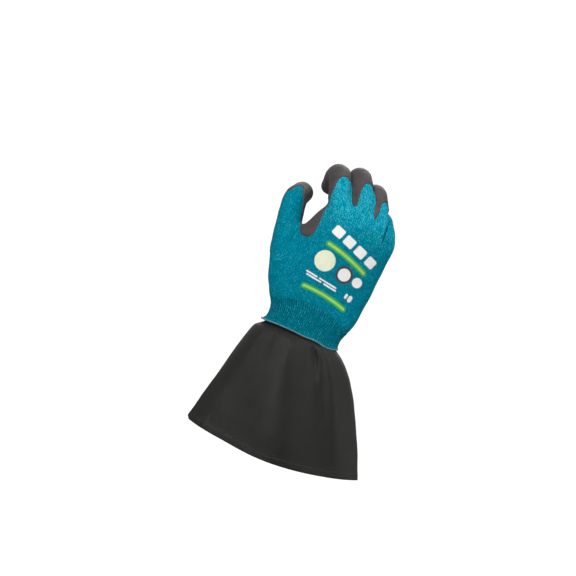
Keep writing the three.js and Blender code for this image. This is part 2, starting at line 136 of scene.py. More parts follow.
# The gauntlet's outside: share is the part of the way from the cuff's edge to the hem, pinch how sharp
# the sides are and fold how much of the folds shows. It is close to the frame's solid.
GAUNTLET_COLUMNS = ("share", "left", "right", "depth", "pinch", "fold")
GAUNTLET_ROWS = [
    (-0.085, -34.6, 35.6, 18.6, 1, 0),
    (0, -37.6, 37.4, 19.8, 1, 0),
    (0.02, -40.4, 40, 21.6, 1, 0.1),
    (0.055, -46.4, 46.4, 24.4, 1.05, 0.6),
    (0.11, -49.2, 53.4, 26.2, 1.1, 1),
    (0.21, -52.6, 63, 28, 1.2, 1),
    (0.38, -57.6, 75.2, 30, 1.35, 1.05),
    (0.59, -63, 87.2, 31.6, 1.45, 1),
    (0.8, -69.4, 98.6, 32.6, 1.55, 0.8),
    (1, -74.4, 107.4, 33, 1.6, 0.45),
]
HEM = {"middle_z": -127.3, "thumb_z": -119.5, "little_z": -113.8}


class Table:
    """Columns over a key, smoothed a little, so that a loft through them has no corners."""

    def __init__(self, columns, rows, spread, step):
        values = np.array(rows, float)
        keys = values[:, 0]
        self.keys = np.arange(keys[0], keys[-1] + step / 2, step)
        reach = int(math.ceil(3 * spread / step))
        kernel = np.exp(-0.5 * (np.arange(-reach, reach + 1) * step / spread) ** 2)
        kernel /= kernel.sum()
        self.columns = {}
        for name, column in zip(columns[1:], values.T[1:]):
            dense = np.interp(self.keys, keys, column)
            # beyond each end the column goes on in a straight line
            before = dense[0] + (dense[0] - dense[1]) * np.arange(reach, 0, -1)
            after = dense[-1] + (dense[-1] - dense[-2]) * np.arange(1, reach + 1)
            self.columns[name] = np.convolve(np.concatenate([before, dense, after]), kernel, "valid")

    def __call__(self, name, key):
        return np.interp(key, self.keys, self.columns[name])


def unit(vectors):
    return vectors / np.maximum(np.linalg.norm(vectors, axis=-1), 1e-9)[..., None]


def full_turn(count, shift=0.0):
    """Evenly spaced angles once round."""
    return (np.arange(count) + shift) / count * 2 * math.pi


def from_back(angle):
    """The angle from the middle of the back, between half a turn each way."""
    return np.mod(angle + math.pi / 2 + math.pi, 2 * math.pi) - math.pi


def smoothstep(low, high, value):
    t = np.clip((value - low) / (high - low), 0, 1)
    return t * t * (3 - 2 * t)


def bump(value, middle, half_width):
    return np.exp(-(((value - middle) / half_width) ** 2))


def smooth_min(a, b, blend):
    h = np.clip(0.5 + 0.5 * (b - a) / blend, 0, 1)
    return b + (a - b) * h - blend * h * (1 - h)


def smooth_max(a, b, blend):
    return -smooth_min(-a, -b, blend)


# The hand as a field of distances

HAND = Table(HAND_COLUMNS, HAND_ROWS, spread=3.2, step=0.5)
HAND_TOP = HAND_ROWS[-1][0]


def catmull_rom(points, steps):
    """A dense centripetal curve through rows of values, whose first three columns are a place."""
    points = np.array(points, float)
    ends = [2 * points[0] - points[1], *points, 2 * points[-1] - points[-2]]
    dense = []
    for a, b, c, d in zip(ends, ends[1:], ends[2:], ends[3:]):
        gaps = [max(np.linalg.norm((q - p)[:3]), 1e-6) ** 0.5 for p, q in ((a, b), (b, c), (c, d))]
        t0, t1, t2, t3 = np.cumsum([0, *gaps])
        for t in np.linspace(t1, t2, steps, endpoint=False):
            ab = a + (b - a) * (t - t0) / (t1 - t0)
            bc = b + (c - b) * (t - t1) / (t2 - t1)
            cd = c + (d - c) * (t - t2) / (t3 - t2)
            abc = ab + (bc - ab) * (t - t0) / (t2 - t0)
            bcd = bc + (cd - bc) * (t - t1) / (t3 - t1)
            dense.append(abc + (bcd - abc) * (t - t1) / (t2 - t1))
    dense.append(points[-1])
    return np.array(dense)


class Digit:
    """A digit as a chain of short cones, with a frame along it."""

    STEPS = 6
    REACH = 13.0

    def __init__(self, rows):
        dense = catmull_rom(rows, self.STEPS)
        self.points = dense[:, :3]
        segments = np.diff(self.points, axis=0)
        self.lengths = np.linalg.norm(segments, axis=1)
        self.along = segments / self.lengths[:, None]
        self.at = np.concatenate([[0], np.cumsum(self.lengths)])
        self.joints = [self.at[i * self.STEPS] for i in range(1, len(rows))]
        # the flesh between the joints is a little slimmer than the joints
        self.radius = dense[:, 3].copy()
        for joint in self.joints[:-1]:
            self.radius += 0.35 * bump(self.at, joint, 7)
        side = np.array([1.0, 0, 0])
        self.across = unit(side - self.along * (self.along @ side)[:, None])
        self.over = np.cross(self.along, self.across)
        margin = self.radius.max() + self.REACH
        self.low, self.high = self.points.min(0) - margin, self.points.max(0) + margin

    def nearest(self, places):
        """Distance to the surface, length along the digit, and the angle round it, for places near it."""
        best = np.full(len(places), 1e9)
        length = np.zeros(len(places))
        angle = np.zeros(len(places))
        for i, along in enumerate(self.along):
            away = places - self.points[i]
            t = np.clip(away @ along / self.lengths[i], 0, 1)
            off = away - along * (t * self.lengths[i])[:, None]
            gap = np.linalg.norm(off, axis=1) - (self.radius[i] + (self.radius[i + 1] - self.radius[i]) * t)
            near = gap < best
            best[near] = gap[near]
            length[near] = self.at[i] + t[near] * self.lengths[i]
            angle[near] = np.arctan2(off[near] @ self.over[i], off[near] @ self.across[i])
        return best, length, angle

    def distance(self, places):
        """Distance to the surface, and REACH where a place is well clear of it."""
        result = np.full(len(places), self.REACH)
        close = np.all((places > self.low) & (places < self.high), axis=1)
        result[close] = np.minimum(self.nearest(places[close])[0], self.REACH)
        return result


ALL_DIGITS = {name: Digit(rows) for name, rows in DIGITS.items()}
FINGERS = [ALL_DIGITS[name] for name in ("index", "middle", "ring", "little")]
THUMB = ALL_DIGITS["thumb"]
WEB = Table(("x", "y", "z", "depth", "height"), WEB_ROWS, spread=3, step=0.5)


def oval_distance(u, v, half_u, half_v):
    """About the distance from an oval, negative inside."""
    k0 = np.hypot(u / half_u, v / half_v)
    k1 = np.hypot(u / half_u**2, v / half_v**2)
    return k0 * (k0 - 1) / np.maximum(k1, 1e-6)


def hand_section(z):
    left, right, back, palm = (HAND(name, z) for name in ("left", "right", "back", "palm"))
    return (left + right) / 2, (right - left) / 2, (back + palm) / 2, (palm - back) / 2, HAND("cup", z)


def palm_distance(places):
    x, y, z = places.T
    middle_x, half_x, middle_y, half_y, cup = hand_section(z)
    across = np.clip((x - middle_x) / half_x, -1.3, 1.3)
    y = y - cup * (across**2 - CUP_MIDDLE)
    side = oval_distance(x - middle_x, y - middle_y, half_x, half_y)
    return smooth_max(side, z - HAND_TOP, 5)


def web_distance(places):
    x, y, z = places.T
    side = oval_distance(y - WEB("y", x), z - WEB("z", x), WEB("depth", x), WEB("height", x))
    return smooth_max(side, np.maximum(WEB_ROWS[0][0] - x, x - WEB_ROWS[-1][0]), 3)


# Soft forms that the plain loft leaves out: a middle and radii
PADS = [
    {"middle": (-27, 17, 62), "radii": (17, 13, 27)},
    {"middle": (35, 13, 62), "radii": (13, 11, 30)},
]


def pad_distance(places, pad):
    away = (places - np.array(pad["middle"])) / np.array(pad["radii"])
    steep = away / np.array(pad["radii"])
    k0 = np.linalg.norm(away, axis=1)
    return k0 * (k0 - 1) / np.maximum(np.linalg.norm(steep, axis=1), 1e-6)


def hand_distance(places):
    """The glove's knitted outside is where this is 0."""
    result = palm_distance(places)
    for pad in PADS:
        result = smooth_min(result, pad_distance(places, pad), 8)
    result = smooth_min(result, web_distance(places), 6)
    # on the back the knit spans from finger to finger, further down they part
    y = places[:, 1]
    fingers = FINGERS[0].distance(places)
    for finger, reach, span in zip(FINGERS[1:], (6, 8, 24), (4.6, 4.6, 7.4)):
        blend = 1.2 + span * (1 - smoothstep(reach - 4, reach + 8, y))
        fingers = smooth_min(fingers, finger.distance(places), blend)
    result = smooth_min(result, THUMB.distance(places), 8)
    return smooth_min(result, fingers, 6)


def slope(places, small=0.25):
    """The direction straight out of the glove, at unit length."""
    parts = []
    for axis in range(3):
        step = np.zeros(3)
        step[axis] = small
        parts.append(hand_distance(places + step) - hand_distance(places - step))
    return unit(np.stack(parts, axis=1))


def onto_surface(places, rounds=2):
    for _ in range(rounds):
        places = places - slope(places) * hand_distance(places)[:, None]
    return places


# Meshes from fields

def surface_net(field, low, high, step):
    """A mesh of quads where the field changes sign, one vertex for each cell that it crosses."""
    axes = [np.arange(a, b + step, step) for a, b in zip(low, high)]
    shape = tuple(len(a) for a in axes)
    grid = np.stack(np.meshgrid(*axes, indexing="ij"), -1)
    values = field(grid.reshape(-1, 3)).reshape(shape)
    inside = values < 0
    corners = [(i, j, k) for i in (0, 1) for j in (0, 1) for k in (0, 1)]

    def shifted(array, corner):
        return array[tuple(slice(c, n - 1 + c) for c, n in zip(corner, shape))]

    count = sum(shifted(inside, c).astype(int) for c in corners)
    cells = np.argwhere((count > 0) & (count < 8))
    index = np.full([n - 1 for n in shape], -1)
    index[tuple(cells.T)] = np.arange(len(cells))
    total = np.zeros((len(cells), 3))
    crossings = np.zeros(len(cells))
    for a in corners:
        for axis in range(3):
            if a[axis]:
                continue
            b = tuple(1 if n == axis else v for n, v in enumerate(a))
            va = values[tuple((cells + a).T)]
            vb = values[tuple((cells + b).T)]
            crossed = (va < 0) != (vb < 0)
            t = np.where(crossed, va / np.where(crossed, va - vb, 1), 0)
            place = cells + np.array(a) + t[:, None] * (np.array(b) - np.array(a))
            total[crossed] += place[crossed]
            crossings += crossed
    vertices = np.array(low) + step * total / crossings[:, None]
    quads = []
    for axis in range(3):
        u, v = (axis + 1) % 3, (axis + 2) % 3
        lower = tuple(slice(None, -1) if n == axis else slice(1, -1) for n in range(3))
        upper = tuple(slice(1, None) if n == axis else slice(1, -1) for n in range(3))
        edges = np.argwhere(inside[lower] != inside[upper])
        edges[:, u] += 1
        edges[:, v] += 1
        ring = []
        for du, dv in ((-1, -1), (0, -1), (0, 0), (-1, 0)):
            cell = edges.copy()
            cell[:, u] += du
            cell[:, v] += dv
            ring.append(index[tuple(cell.T)])
        quad = np.stack(ring, axis=1)
        outward = inside[tuple(edges.T)]
        quad[~outward] = quad[~outward][:, ::-1]
        quads.append(quad)
    return vertices, np.concatenate(quads)


def relax(vertices, faces, rounds):
    """Evens out the mesh along the surface."""
    ends = np.concatenate([faces, np.roll(faces, -1, 1)]).reshape(2, -1).T
    edges = np.unique(np.sort(ends, axis=1), axis=0)
    for _ in range(rounds):
        total = np.zeros_like(vertices)
        count = np.zeros(len(vertices))
        for a, b in (edges.T, edges.T[::-1]):
            np.add.at(total, a, vertices[b])
            np.add.at(count, a, 1)
        moved = vertices + 0.5 * (total / count[:, None] - vertices)
        vertices = onto_surface(moved, rounds=1)
    return vertices


def triangles_of(quads):
    return np.concatenate([quads[:, [0, 1, 2]], quads[:, [0, 2, 3]]])


def split_at(vertices, triangles, scalar, level):
    """Cuts the triangles so that edges run where the scalar has that level."""
    above = scalar[triangles] > level
    count = above.sum(1)
    mixed = (count == 1) | (count == 2)
    keep = triangles[~mixed]
    cut, flags = triangles[mixed], above[mixed]
    lone = np.where(count[mixed] == 1, np.argmax(flags, axis=1), np.argmin(flags, axis=1))
    turned = np.stack([cut[np.arange(len(cut)), (lone + n) % 3] for n in range(3)], axis=1)
    pairs = np.sort(np.concatenate([turned[:, [0, 1]], turned[:, [0, 2]]]), axis=1)
    unique, which = np.unique(pairs, axis=0, return_inverse=True)
    which = which.reshape(-1)
    low, high = scalar[unique[:, 0]], scalar[unique[:, 1]]
    t = np.clip((level - low) / (high - low), 0.06, 0.94)[:, None]
    fresh = vertices[unique[:, 0]] * (1 - t) + vertices[unique[:, 1]] * t
    first = len(vertices)
    p, q = first + which[: len(cut)], first + which[len(cut):]
    a, b, c = turned.T
    pieces = [np.stack(corner, axis=1) for corner in ((a, p, q), (p, b, c), (p, c, q))]
    vertices = np.concatenate([vertices, fresh])
    scalar = np.concatenate([scalar, np.full(len(fresh), float(level))])
    return vertices, np.concatenate([keep, *pieces]), scalar


def drop_unused(vertices, faces, *others):
    used = np.unique(faces)
    index = np.full(len(vertices), -1)
    index[used] = np.arange(len(used))
    return (vertices[used], index[faces], *[o[used] for o in others])


def border_edges(faces):
    """The directed edges that only one face has."""
    around = np.stack([faces, np.roll(faces, -1, axis=1)], axis=2).reshape(-1, 2)
    seen = {(a, b) for a, b in around.tolist()}
    return [(a, b) for a, b in around.tolist() if (b, a) not in seen]


def closed_shell(outer, inner, faces):
    """Faces for an outer and an inner copy of a sheet, joined along its border."""
    count = len(outer)
    rim = [(b, a, a + count, b + count) for a, b in border_edges(faces)]
    return np.concatenate([outer, inner]), [*faces.tolist(), *(faces[:, ::-1] + count).tolist(), *rim]


def new_mesh(name, vertices, faces, material, node=None, knit=None):
    """A piece of the glove from places in millimetres, which may stand for a node."""
    mesh = bpy.data.meshes.new(name)
    mesh.from_pydata((np.asarray(vertices) * MM).tolist(), [], [list(f) for f in faces])
    mesh.validate()
    mesh.shade_smooth()
    if knit is not None:
        attribute = mesh.attributes.new("knit", "FLOAT_VECTOR", "POINT")
        attribute.data.foreach_set("vector", np.asarray(knit, np.float32).ravel())
    mesh.materials.append(material)
    piece = bpy.data.objects.new(name, mesh)
    bpy.context.scene.collection.objects.link(piece)
    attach(piece, "root")
    if node:
        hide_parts(node)


def new_shell(name, outer, inner, faces, material, node, knit=None):
    """A closed piece between an outer and an inner sheet, with the same knit places on both."""
    vertices, all_faces = closed_shell(outer.reshape(-1, 3), inner.reshape(-1, 3), faces)
    if knit is not None:
        knit = np.tile(knit, (2, 1))
    new_mesh(name, vertices, all_faces, material, node, knit)


# The glove's own details on that field

def rib_top_at(x):
    across = (x - RIB_TOP["centre_x"]) / RIB_TOP["half_width"]
    return RIB_TOP["side"] + RIB_TOP["rise"] * (1 - across**2)


def as_seen(places):
    """Places moved along the camera's rays onto the plane y = 0."""
    scale = CAMERA_DISTANCE / (CAMERA_DISTANCE + places[:, 1])
    return PICTURE_MIDDLE + (places - PICTURE_MIDDLE) * scale[:, None]


def rounded_outline(points):
    """A closed outline with soft corners through given points."""
    flat = np.array([(x, 0, z) for x, z in points], float)
    closed = np.concatenate([flat[-1:], flat, flat[:1]])
    return catmull_rom(closed, 4)[4:-4][:, [0, 2]]


def inside_outline(outline, x, z):
    """Distance from an outline's edge, positive inside."""
    start, end = outline, np.roll(outline, -1, axis=0)
    best = np.full(len(x), 1e9)
    within = np.zeros(len(x), bool)
    for (ax, az), (bx, bz) in zip(start, end):
        dx, dz = bx - ax, bz - az
        t = np.clip(((x - ax) * dx + (z - az) * dz) / max(dx * dx + dz * dz, 1e-9), 0, 1)
        best = np.minimum(best, np.hypot(x - ax - t * dx, z - az - t * dz))
        if az != bz:
            crosses = ((az > z) != (bz > z)) & (x < ax + (z - az) * dx / dz)
            within ^= crosses
    return np.where(within, best, -best)


def bareness(places):
    """How far inside the bare knit a place lies, negative under the coating."""
    seen = as_seen(places)
    x, y, z = places.T
    result = np.full(len(places), -1e3)
    for outline, depth in BARE_WINDOWS:
        reach = np.interp(z, *np.array(depth, float).T) - y
        within = inside_outline(rounded_outline(outline), seen[:, 0], seen[:, 2])
        result = smooth_max(result, smooth_min(within, reach, 2.0), 1.5)
    heel = HEEL["middle_z"] + HEEL["side_rise"] * ((x - HEEL["middle_x"]) / HEEL["half_width"]) ** 2 - z
    result = smooth_max(result, heel, 14.0)
    # the dipped edge isn't cut straight
    return result + 0.1 * np.sin(x * 0.9 + z * 0.6) + 0.07 * np.sin(z * 1.3 - x * 0.8 + 1.0)


# Arc length round an oval as flat as the palm, whose half width is 1, from the middle of its back
PALM_TURN = np.linspace(0, math.pi, 181)
PALM_ARC = np.cumsum(np.hypot(np.cos(PALM_TURN), 0.45 * np.sin(PALM_TURN))) * PALM_TURN[1]


def knit_places(places):
    """Where each place lies in the knit: across the wales, up the courses, in millimetres."""
    x, y, z = places.T
    middle_x, half_x, middle_y, half_y, cup = hand_section(z)
    across = np.clip((x - middle_x) / half_x, -1, 1)
    over = (y - middle_y - cup * (across**2 - CUP_MIDDLE)) / half_y
    turn = from_back(np.arctan2(over, (x - middle_x) / half_x))
    u = middle_x + half_x * np.sign(turn) * np.interp(np.abs(turn), PALM_TURN, PALM_ARC)
    v = z.copy()
    nearest = palm_distance(places)
    for digit in ALL_DIGITS.values():
        gap, length, round_angle = digit.nearest(places)
        start = digit.points[digit.STEPS]
        own_u = start[0] + from_back(round_angle) * np.interp(length, digit.at, digit.radius)
        own_v = start[2] + length - digit.joints[0]
        weight = smoothstep(-2.0, 3.0, nearest - gap)
        u = u * (1 - weight) + own_u * weight
        v = v * (1 - weight) + own_v * weight
        nearest = np.minimum(nearest, gap)
    return np.stack([u, v, np.zeros(len(u))], axis=1)


# Creases of the palm's coating: the line's two ends in x and z, its depth and half width
PALM_CREASES = [
    ((-30, 96), (-8, 62), 1.0, 2.2),
    ((-8, 62), (-6, 40), 0.8, 2.2),
    ((-26, 104), (24, 84), 0.8, 2.0),
    ((-2, 110), (44, 92), 0.8, 2.0),
    ((-40, 86), (-20, 74), 0.6, 1.8),
]
# Dents of the knit on the back: two ends in x and z, depth and half width
BACK_CREASES = [
    ((40.9, 141), (41.6, 113), 2.4, 0.85),
    ((-38, 92), (-34, 66), 0.7, 2.6),
    ((-44, 52), (-30, 40), 0.35, 2.6),
    ((-46, 44), (-32, 33), 0.3, 2.2),
]


def line_dent(x, z, start, end, depth, half_width):
    """A dent along a line, which fades out at both ends."""
    (ax, az), (bx, bz) = start, end
    dx, dz = bx - ax, bz - az
    length = math.hypot(dx, dz)
    t = ((x - ax) * dx + (z - az) * dz) / length**2
    off = ((x - ax) * dz - (z - az) * dx) / length
    fade = smoothstep(-0.08, 0.2, t) * (1 - smoothstep(0.8, 1.08, t))
    return -depth * bump(off, 0, half_width) * fade


def back_dents(places, normals):
    back_side = smoothstep(-0.2, 0.3, -normals[:, 1])
    return back_side * sum(line_dent(places[:, 0], places[:, 2], *crease) for crease in BACK_CREASES)


def relief(places, normals):
    """How far folds and creases move the surface outwards, in millimetres."""
    x, y, z = places.T
    palm_side = smoothstep(0.1, 0.6, normals[:, 1])
    result = np.zeros(len(x))
    for crease in PALM_CREASES:
        result += palm_side * line_dent(x, z, *crease)
    result += back_dents(places, normals)
    for digit in ALL_DIGITS.values():
        gap, length, angle = digit.nearest(places)
        own = 1 - smoothstep(1.0, 3.0, np.abs(gap))
        inner_side = smoothstep(0.0, 0.7, np.sin(angle))
        for joint in digit.joints[-3:-1]:
            for shift, depth in ((-2.6, 0.45), (0.6, 0.75), (3.6, 0.4)):
                result -= own * inner_side * depth * bump(length, joint + shift, 1.25)
    # the knit isn't drawn tight everywhere
    result += 0.22 * np.sin(x * 0.21 + 1.3) * np.sin(z * 0.17 + y * 0.11)
    result += 0.12 * np.sin(x * 0.37 - z * 0.29 + 0.7)
    return result


# The box in which the hand's mesh is made, and the size of its cells
HAND_BOX = ((-73, -32, 17), (60, 79, 182))
HAND_CELL = 1.3
# How far the knit goes down behind the cuff, and how deep it dips there
HAND_TUCK = 2.5
HAND_DIP = 0.55

COAT_THICKNESS = 0.95
COAT_TUCK = 0.25
# Levels of bareness at which the coating's edge gets its own rows of vertices
COAT_LEVELS = (0.0, -0.3, -0.7, -1.3, -2.2)


def coat_height(bare):
    """The coating's height over the knit: round at its edge, with a faint bead behind it."""
    inward = np.clip(-bare, 0, None)
    rise = np.sqrt(np.clip(1 - (1 - np.clip(inward / 1.2, 0, 1)) ** 2, 0, 1))
    return -COAT_TUCK + (COAT_THICKNESS + COAT_TUCK) * rise + 0.12 * bump(inward, 1.6, 0.9)


def build_hand(knit_material, coat_material):
    vertices, quads = surface_net(hand_distance, *HAND_BOX, HAND_CELL)
    vertices = onto_surface(vertices)
    vertices = relax(vertices, quads, 2)
    triangles = triangles_of(quads)

    lower_edge = rib_top_at(vertices[:, 0]) - HAND_TUCK
    v, f, s = split_at(vertices, triangles, vertices[:, 2] - lower_edge, 0.0)
    f = f[s[f].min(axis=1) >= 0]
    v, f = drop_unused(v, f)
    normals = slope(v)
    outside = v + normals * relief(v, normals)[:, None]
    # under the rib's top edge the knit dips, so that the two lie flush
    dip = HAND_DIP * (1 - smoothstep(-1.5, 1.5, v[:, 2] - rib_top_at(v[:, 0])))
    outside -= normals * dip[:, None]
    coordinates = knit_places(v)
    coordinates[:, 2] = back_dents(v, normals)
    new_shell("knit_glove", outside, outside - normals * KNIT_WALL, f, knit_material,
              "knit_hand", coordinates)

    v, f, s = vertices, triangles, bareness(vertices)
    for level in COAT_LEVELS:
        v, f, s = split_at(v, f, s, level)
    f = f[s[f].max(axis=1) <= 0]
    v, f, s = drop_unused(v, f, s)
    v = onto_surface(v, rounds=1)
    normals = slope(v)
    base = v + normals * relief(v, normals)[:, None]
    outer = base + normals * coat_height(s)[:, None]
    inner = base - normals * (COAT_TUCK + 0.1)
    new_shell("foam_coating", outer, inner, f, coat_material, "palm_coating", knit_places(v))


def grid_faces(rows, columns):
    """Quads of a grid whose columns close into a ring."""
    r, c = np.meshgrid(np.arange(rows - 1), np.arange(columns), indexing="ij")
    following = (c + 1) % columns
    return np.stack([r * columns + c, r * columns + following, (r + 1) * columns + following,
                     (r + 1) * columns + c], axis=-1).reshape(-1, 4)


RIB_COUNT = 92
RIB_COLUMNS = 8
RIB_HEIGHT = 0.42
RIB_ROWS = 40
# Where the cuff's lower edge rises or sags: where across, half width and height
RIB_SAGS = [(-0.55, 0.25, 0.5), (0.12, 0.2, -0.9), (0.74, 0.3, -3.2)]


def rib_places(share, angle):
    """The cuff's smooth outside: share 0 is the lower edge and 1 the arch where the hand begins."""
    height = share * RIB_TOP["side"]
    for _ in range(5):
        middle_x, half_x, _y, _half_y, _cup = hand_section(height)
        height = share * (rib_top_at(middle_x + half_x * np.cos(angle)) + 0.4)
    middle_x, half_x, middle_y, half_y, cup = hand_section(height)
    across = np.cos(angle)
    y = middle_y + half_y * np.sin(angle) + cup * (across**2 - CUP_MIDDLE)
    # the lower edge flares, most at the thumb's side, and doesn't run straight
    flare = (0.7 + 1.6 * smoothstep(0.75, 1, -across)) * (1 - smoothstep(0, 6, height)) ** 2
    sag = 0.4 + sum(rise * bump(across, middle, half_width) for middle, half_width, rise in RIB_SAGS)
    sag = sag * (1 - smoothstep(0, 12, height))
    places = np.stack([middle_x + half_x * across, y, height + sag], axis=-1)
    outward = np.stack([across, np.sin(angle) * 0.6, np.zeros_like(across)], axis=-1)
    return places + outward * flare[..., None]


def build_cuff(material):
    columns = RIB_COUNT * RIB_COLUMNS
    share, angle = np.meshgrid(np.linspace(0, 1, RIB_ROWS), full_turn(columns), indexing="ij")
    smooth = rib_places(share, angle)
    flat = smooth.reshape(-1, 3)
    joined = flat - slope(flat) * hand_distance(flat)[:, None]
    blend = smoothstep(0.45, 1, share).reshape(-1, 1)
    flat = flat * (1 - blend) + joined * blend
    # arc length round the cuff, so that the ribs are evenly spaced
    ring = smooth[RIB_ROWS // 2]
    gaps = np.linalg.norm(np.roll(ring, -1, 0) - ring, axis=1)
    around = np.concatenate([[0], np.cumsum(gaps)[:-1]])
    phase = np.tile(around / gaps.sum() * RIB_COUNT, RIB_ROWS)
    height = flat[:, 2]
    wobble = 0.05 * np.sin(height * 1.3 + phase * 1.7)
    ridge = np.abs(np.sin((phase + wobble) * math.pi)) ** 0.8
    fade = smoothstep(1.0, 0.82, share).reshape(-1)
    courses = 0.05 * np.sin(height * 2 * math.pi / 1.5)
    # the elastic draws the cuff in along a few courses
    elastic = -0.16 * np.clip(np.sin(height * 2 * math.pi / 4.4 + 0.6), 0, 1) ** 2
    lift = (RIB_HEIGHT * (ridge - 0.62) * (0.15 + 0.85 * fade) + courses + elastic) * (0.25 + 0.75 * fade)
    normals = slope(flat)
    outside = flat + normals * lift[:, None]
    coordinates = np.stack([phase * 2.25, height, ridge], axis=1)
    new_shell("ribbed_cuff", outside, flat - normals * KNIT_WALL, grid_faces(RIB_ROWS, columns), material,
              "rib_cuff", coordinates)


def tube(path, radius, sides, closed=False):
    """Vertices and faces of a round thread along a path of places."""
    path = np.asarray(path, float)
    if closed:
        along = np.roll(path, -1, 0) - np.roll(path, 1, 0)
    else:
        along = np.gradient(path, axis=0)
    along = unit(along)
    helper = np.where(np.abs(along[:, :1]) > 0.8, np.array([[0, 0, 1.0]]), np.array([[1.0, 0, 0]]))
    across = unit(np.cross(along, helper))
    over = np.cross(along, across)
    turns = full_turn(sides)
    radii = np.full(len(path), radius)
    if not closed:
        radii[0] = radii[-1] = radius * 0.35
    rings = (path[:, None] + (across[:, None] * np.cos(turns)[None, :, None]
             + over[:, None] * np.sin(turns)[None, :, None]) * radii[:, None, None])
    count = len(path)
    faces = []
    for i in range(count if closed else count - 1):
        j = (i + 1) % count
        for k in range(sides):
            m = (k + 1) % sides
            faces.append((i * sides + k, j * sides + k, j * sides + m, i * sides + m))
    if not closed:
        faces.append(tuple(range(sides)))
        faces.append(tuple(range(count * sides - 1, (count - 1) * sides - 1, -1)))
    return rings.reshape(-1, 3), faces


def threads(name, paths, radius, sides, material, node=None):
    """Many short threads as one mesh."""
    vertices, faces = [], []
    total = 0
    for path in paths:
        v, f = tube(path, radius, sides)
        vertices.append(v)
        faces += [tuple(i + total for i in face) for face in f]
        total += len(v)
    new_mesh(name, np.concatenate(vertices), faces, material, node)


OVERLOCK_STITCHES = 150


def out_of_cuff(angle):
    return np.stack([np.cos(angle), np.sin(angle) * 0.9, np.zeros_like(angle)], axis=1)


def build_overlock(material):
    """Thread loops that wrap the cuff's lower edge, over a core that they cover."""
    paths = []
    for i in range(OVERLOCK_STITCHES):
        steps = np.linspace(0, 1, 9)
        angle = (i + 0.85 * (steps - 0.5)) / OVERLOCK_STITCHES * 2 * math.pi
        turn = (steps * 1.15 - 0.08) * math.pi
        places = rib_places(np.zeros_like(angle), angle)
        lift = 0.75 * np.cos(turn) - 0.35
        drop = 1.0 - 0.9 * np.sin(turn) + 0.3 * np.cos(turn) ** 2
        raised = places + np.array([0, 0, 1.0]) * drop[:, None]
        paths.append(raised + unit(out_of_cuff(angle)) * lift[:, None])
    threads("overlock_stitches", paths, 0.36, 6, material, "overlock_edge")
    angles = full_turn(240)
    ring = rib_places(np.zeros_like(angles), angles)
    core = ring - out_of_cuff(angles) * 0.4 + np.array([0, 0, 0.55])
    vertices, faces = tube(core, 0.6, 10, closed=True)
    new_mesh("overlock_core", vertices, faces, material)


GAUNTLET = Table(GAUNTLET_COLUMNS, GAUNTLET_ROWS, spread=0.012, step=0.004)
# Broad folds fan out from the cuff: where across, how far that moves on the way to the hem,
# half width and height
BACK_FOLDS = [
    (-0.88, 0, 0.16, 1.2), (-0.4, 0.42, 0.4, 6.2), (0.34, 0.12, 0.28, -3.2), (0.58, 0.25, 0.13, 2.6),
]
PALM_FOLDS = [(-0.45, 0, 0.24, 2.6), (0.05, 0, 0.22, -2.4), (0.5, 0, 0.24, 2.8)]
# Small gathers where the cloth is drawn in at the cuff: where across, half width and height
GATHERS = [(-0.74, 0.06, 0.9), (-0.5, 0.08, -1.3), (-0.1, 0.05, 0.9), (0.24, 0.06, 0.6), (0.4, 0.045, -1.8),
           (0.5, 0.05, 1.4), (0.78, 0.07, 0.9), (0.9, 0.05, -0.6)]


def hem_at(across):
    side = (HEM["thumb_z"] + HEM["little_z"]) / 2
    tilt = (HEM["little_z"] - HEM["thumb_z"]) / 2
    # on the thumb's side the hem runs straighter and its corner is rounded
    corner = 2.6 * smoothstep(0.96, 1.0, -across) ** 2 + 1.1 * bump(across, -0.52, 0.26)
    return HEM["middle_z"] + (side - HEM["middle_z"]) * across**2 + tilt * across + corner


def gauntlet_places(share, angle):
    across, height = np.cos(angle), np.sin(angle)
    left, right = GAUNTLET("left", share), GAUNTLET("right", share)
    folds = np.zeros_like(across)
    for mask, table in ((height < 0, BACK_FOLDS), (height >= 0, PALM_FOLDS)):
        for middle, drift, half_width, rise in table:
            folds += mask * rise * bump(across, middle + drift * np.clip(share, 0, 1), half_width)
    fade = np.exp(-((np.clip(share, 0, None) / 0.27) ** 2)) * smoothstep(0.02, 0.08, share)
    for middle, half_width, rise in GATHERS:
        folds += fade * rise * bump(across, middle + 0.05 * np.sign(height), half_width)
    edge_fade = 1 - np.abs(across) ** 6
    depth = GAUNTLET("depth", share) * np.abs(height) ** GAUNTLET("pinch", share)
    depth = depth + GAUNTLET("fold", share) * folds * edge_fade
    x = (left + right) / 2 + (right - left) / 2 * across
    z = share * np.where(share < 0, HEM["middle_z"], hem_at(across))
    return np.stack([x, np.sign(height) * depth, z], axis=-1)


def cloth_normals(share, angle, small=0.004):
    down = gauntlet_places(share + small, angle) - gauntlet_places(share - small, angle)
    around = gauntlet_places(share, angle + small) - gauntlet_places(share, angle - small)
    return unit(np.cross(down, around))


HEM_STITCH_LINE = 6.6


